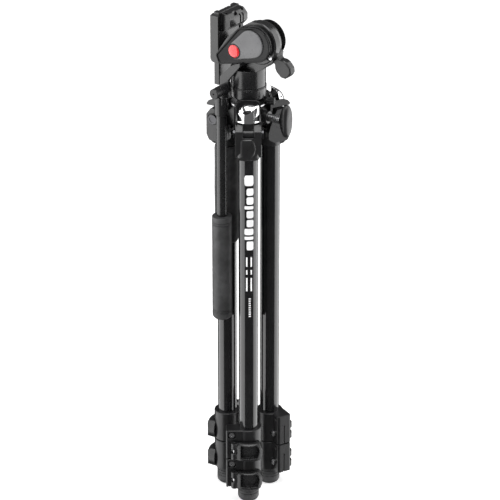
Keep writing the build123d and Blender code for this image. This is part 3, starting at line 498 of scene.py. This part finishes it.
def leg_place(leg):
    """A function from (sideways, outward, height) in mm at one leg to a point."""
    x, y, _ = leg_axis(leg)
    out = Vector((x - COLUMN.x, y - COLUMN.y, 0.0)).normalized()
    side = Vector((-out.y, out.x, 0.0))

    def place(s, r, z):
        return COLUMN + (side * s + out * r + Vector((0, 0, z))) * MM

    return place


HOOD_BACK, HOOD_FRONT = 33.5, 46.0
HOOD_LOW, HOOD_HIGH = 489.0, 507.5
HOOD_HALF = 12.0
HOOD_INNER = 6.4
HOOD_CORNER = 11.0           # round of the hood's upper corner on one side
HOOD_BOW = 6.0               # how far its face falls back at the sides
HOOD_POWER = 1.9
HOOD_WALL = 0.86             # inner skin of the middle part, as a share of the outer
SLOT_AT, SLOT_SIZE, SLOT_LEAN = (-1.5, 501.6), (5.0, 1.9), math.radians(16.0)
SLOT_LIFT = 0.06


def hood_limits(s):
    """Top height and front reach of the hood at one place across it."""
    drop = HOOD_CORNER * (1 - math.sqrt(max(0.0, 1 - (max(0.0, -s - 1.0) / HOOD_CORNER) ** 2)))
    drop += 1.5 * max(0.0, (s - 10.0) / 2.0) ** 2
    reach = HOOD_FRONT - HOOD_BOW * (s / HOOD_HALF) ** 2
    return HOOD_HIGH - drop, reach


def hood_front(s, z):
    top, reach = hood_limits(s)
    share = min(1.0, max(0.0, (z - HOOD_LOW) / (top - HOOD_LOW)))
    return HOOD_BACK + (reach - HOOD_BACK) * (1 - share ** HOOD_POWER) ** (1 / HOOD_POWER)


def hood_section(place, s, inset):
    """One closed section of the hood, as a band of the given wall or solid to the back."""
    top, _ = hood_limits(s)
    levels = [HOOD_LOW + (top - HOOD_LOW) * math.sin(math.pi / 2 * k / 14) for k in range(15)]
    outer = [(hood_front(s, z), z) for z in levels]
    if inset is None:
        inner = [(HOOD_BACK, z) for z in reversed(levels[:-1])]
    else:
        inner = [(HOOD_BACK + (r - HOOD_BACK) * inset, HOOD_LOW + (z - HOOD_LOW) * inset)
                 for r, z in reversed(outer[:-1])]
    return [place(s, r, z) for r, z in outer + inner]


def build_hood(work, leg):
    place = leg_place(leg)
    edge = HOOD_HALF - 0.01
    count = 12
    for low, high, inset in ((-edge, -HOOD_INNER, None), (-HOOD_INNER, HOOD_INNER, HOOD_WALL),
                             (HOOD_INNER, edge, None)):
        loft(work, [hood_section(place, low + (high - low) * k / count, inset) for k in range(count + 1)])


def build_hood_slot_shade(work, leg):
    """Painted shade: a black oval sheet lying on the hood's face, standing in for the shaded recess of its slot.
    """
    place = leg_place(leg)
    turns = 32
    rings = []
    for size in (1.0, 0.75, 0.5, 0.25):
        ring = []
        for k in range(turns):
            turn = 2 * math.pi * k / turns
            a, b = SLOT_SIZE[0] * size * math.cos(turn), SLOT_SIZE[1] * size * math.sin(turn)
            s = SLOT_AT[0] + a * math.cos(SLOT_LEAN) - b * math.sin(SLOT_LEAN)
            z = SLOT_AT[1] + a * math.sin(SLOT_LEAN) + b * math.cos(SLOT_LEAN)
            ring.append(place(s, hood_front(s, z) + SLOT_LIFT, z))
        rings.append(ring)
    loft(work, rings, False, True)


FACE_LOW, FACE_HIGH = 443.0, 471.5
FACE_HALF = 14.2
FACE_BASE, FACE_FRONT = 41.6, 48.0
FACE_ROUND, FACE_POWER = 14.6, 2.8
FACE_BACK = 30.0
GROOVE_DEPTH, GROOVE_WIDTH, GROOVE_R = 1.3, 0.85, 8.2
GROOVE_AT, GROOVE_STRETCH = (1.0, 459.5), 1.45


def face_reach(s, z):
    """How far the cap's rounded face stands out, with its crescent groove."""
    across = (1 - abs(s / FACE_ROUND) ** FACE_POWER) ** (1 / FACE_POWER)
    foot = min(1.0, (z - FACE_LOW + 0.4) / 9.0)
    head = min(1.0, (FACE_HIGH + 0.6 - z) / 4.0)
    rise = (1 - (1 - foot) ** 2) ** 0.5 * (1 - (1 - head) ** 2) ** 0.5
    reach = FACE_BASE + (FACE_FRONT - FACE_BASE) * rise * across - 7.0 * (1 - across)
    away = math.hypot(s - GROOVE_AT[0], (z - GROOVE_AT[1]) / GROOVE_STRETCH)
    right = min(1.0, max(0.0, (s - 3.0) / 2.5))
    return reach - GROOVE_DEPTH * right * math.exp(-((away - GROOVE_R) / GROOVE_WIDTH) ** 2)


def build_face(work, leg):
    place = leg_place(leg)
    columns, rows = 44, 44
    grid = []
    for row in range(rows + 1):
        z = FACE_LOW + (FACE_HIGH - FACE_LOW) * row / rows
        line = []
        for column in range(columns + 1):
            s = FACE_HALF * math.sin(math.pi / 2 * (2 * column / columns - 1))
            bottom = 1.0 - 0.20 * max(0.0, 1 - (z - FACE_LOW) / 8.0) ** 2
            line.append(work.verts.new(place(s * bottom, face_reach(s, z), z)))
        grid.append(line)
    for low, high in zip(grid, grid[1:]):
        for i in range(columns):
            work.faces.new((low[i], low[i + 1], high[i + 1], high[i]))
    back = [work.verts.new(place(s, FACE_BACK, z)) for s, z in
            ((-11.0, FACE_LOW + 1), (11.0, FACE_LOW + 1), (13.4, FACE_HIGH - 1), (-13.4, FACE_HIGH - 1))]
    work.faces.new([back[0], back[1]] + grid[0][::-1])
    work.faces.new([back[2], back[3]] + grid[-1])
    work.faces.new([back[1], back[2]] + [line[-1] for line in reversed(grid)])
    work.faces.new([back[3], back[0]] + [line[0] for line in grid])
    work.faces.new(back[::-1])


for leg in LEGS:
    hood_mesh = smooth_mesh(f"{leg}_hood", lambda work, leg=leg: build_hood(work, leg), 40)
    new_piece(f"{leg}_hood", hood_mesh, MATERIALS["chrome"], f"{leg}_selector",
              [f"{leg}_angle_selector"])
    # Black sheet painted as the shade inside each hood's slot.
    slot_shade_mesh = smooth_mesh(f"{leg}_hood_slot_shade", lambda work, leg=leg: build_hood_slot_shade(work, leg))
    new_piece(f"{leg}_hood_slot_shade", slot_shade_mesh, BLACK_TRIM_AND_SHADE, f"{leg}_selector")
    face_mesh = smooth_mesh(f"{leg}_cap_face", lambda work, leg=leg: build_face(work, leg), 50)
    new_piece(f"{leg}_cap_face", face_mesh, MATERIALS["casting"], f"{leg}_leg")


# ---------------------------------------------------------------- oval column lock knob
KNOB_TURN = math.radians(-30.0)
KNOB_HEIGHT = 484.0
KNOB_TALL, KNOB_WIDE = 19.8, 8.4
BODY_POWER, CAP_POWER = 1.12, 0.98    # above 1 the oval's ends turn pointed


def knob_ring(reach, share, power):
    out = Vector((math.cos(KNOB_TURN), math.sin(KNOB_TURN), 0.0))
    side = Vector((-out.y, out.x, 0.0))
    turns = 64
    ring = []
    for k in range(turns):
        turn = 2 * math.pi * k / turns
        wide, tall = math.cos(turn), math.sin(turn)
        wide = math.copysign(abs(wide) ** power, wide) * KNOB_WIDE * share
        tall = math.copysign(abs(tall) ** power, tall) * KNOB_TALL * share
        ring.append(COLUMN + (out * reach + side * wide + Vector((0, 0, KNOB_HEIGHT + tall))) * MM)
    return ring


def build_knob_body(work):
    steps = [(42.0, 0.34), (42.2, 0.42), (43.6, 0.62), (45.2, 0.82), (46.6, 0.95), (47.3, 0.985),
             (48.2, 0.97), (48.3, 0.9)]
    loft(work, [knob_ring(reach, share, BODY_POWER) for reach, share in steps])


def build_knob_cap(work):
    steps = [(48.2, 0.94), (48.3, 0.985), (49.0, 1.0), (50.6, 0.99), (52.2, 0.93), (53.3, 0.82),
             (53.8, 0.66), (54.0, 0.4)]
    loft(work, [knob_ring(reach, share, CAP_POWER) for reach, share in steps])


new_piece("knob_body", smooth_mesh("knob_body", build_knob_body, 40), BLACK_TRIM_AND_SHADE, "column_lock",
          ["column_lock_knob"])
new_piece("knob_cap", smooth_mesh("knob_cap", build_knob_cap, 40), MATERIALS["knob"], "column_lock")


# ---------------------------------------------------------------- floor, light and camera
def stage_plane(name, corners, material):
    mesh = bpy.data.meshes.new(name)
    mesh.from_pydata(corners, [], [(0, 1, 2, 3)])
    plane = bpy.data.objects.new(name, mesh)
    SCENE.collection.objects.link(plane)
    plane.data.materials.append(material)
    return plane


def floor_material():
    graph = Graph("pale_floor")
    mottle = graph.span(graph.noise(3.0, 3.0), 0.3, 0.7)
    graph.link(graph.blend(mottle, (0.86, 0.86, 0.86), (0.90, 0.90, 0.90)), graph.shader.inputs["Base Color"])
    graph.set(Roughness=0.9, Specular_IOR_Level=0.0)
    graph.set(Emission_Color=(1.0, 1.0, 1.0, 1.0), Emission_Strength=0.6)
    return graph.material


FLOOR_HALF = 14.0
FLOOR_CORNERS = [(FLOOR_HALF * x, FLOOR_HALF * y, 0.0) for x, y in ((-1, -1), (1, -1), (1, 1), (-1, 1))]
floor = stage_plane("floor", FLOOR_CORNERS, floor_material())
floor.visible_glossy = False


def softbox(name, azimuth, distance, width, low, high, strength):
    """A lit panel facing the column, from azimuth degrees (0 is the camera's side, + to the right)."""
    turn = math.radians(azimuth)
    out = Vector((math.sin(turn), -math.cos(turn), 0.0))
    middle = (low + high) / 2
    light = bpy.data.lights.new(name, "AREA")
    light.shape = "RECTANGLE"
    light.size = width
    light.size_y = high - low
    light.energy = strength * width * (high - low) * math.pi
    lamp = bpy.data.objects.new(name, light)
    SCENE.collection.objects.link(lamp)
    lamp.location = COLUMN + out * distance + Vector((0, 0, middle))
    lamp.rotation_euler = (-out).to_track_quat("-Z", "Y").to_euler()
    lamp.visible_camera = False


softbox("left_softbox", -84.0, 1.9, 3.3, -1.8, 2.1, 2.3)
softbox("right_softbox", 100.0, 1.9, 3.0, -1.8, 2.1, 2.3)


OVERHEAD_SIZE, OVERHEAD_ENERGY = (1.6, 2.8), 60.0
OVERHEAD_AT, OVERHEAD_TILT = (0.1, -1.0, 2.3), -22.0


def overhead():
    light = bpy.data.lights.new("overhead_softbox", "AREA")
    light.shape = "RECTANGLE"
    light.size, light.size_y = OVERHEAD_SIZE
    light.energy = OVERHEAD_ENERGY
    lamp = bpy.data.objects.new("overhead_softbox", light)
    SCENE.collection.objects.link(lamp)
    lamp.location = COLUMN + Vector(OVERHEAD_AT)
    lamp.rotation_euler = (math.radians(OVERHEAD_TILT), 0.0, 0.0)
    lamp.visible_camera = False


overhead()

world = bpy.data.worlds.new("studio")
world.use_nodes = True
world.node_tree.nodes["Background"].inputs["Color"].default_value = (1.0, 1.0, 1.0, 1.0)
world.node_tree.nodes["Background"].inputs["Strength"].default_value = 0.12
SCENE.world = world
SCENE.view_settings.view_transform = "Standard"

CAMERA_LENS = 205.7
CAMERA_AT, CAMERA_DOWN = (0.0019, -3.0, 1.706), 24.91
camera_data = bpy.data.cameras.new("camera")
camera_data.lens = CAMERA_LENS
camera_data.sensor_width = 36.0
camera_data.clip_end = 60.0
camera = bpy.data.objects.new("camera", camera_data)
SCENE.collection.objects.link(camera)
camera.location = COLUMN + Vector(CAMERA_AT)
camera.rotation_euler = (math.radians(90.0 - CAMERA_DOWN), 0.0, 0.0)
SCENE.camera = camera
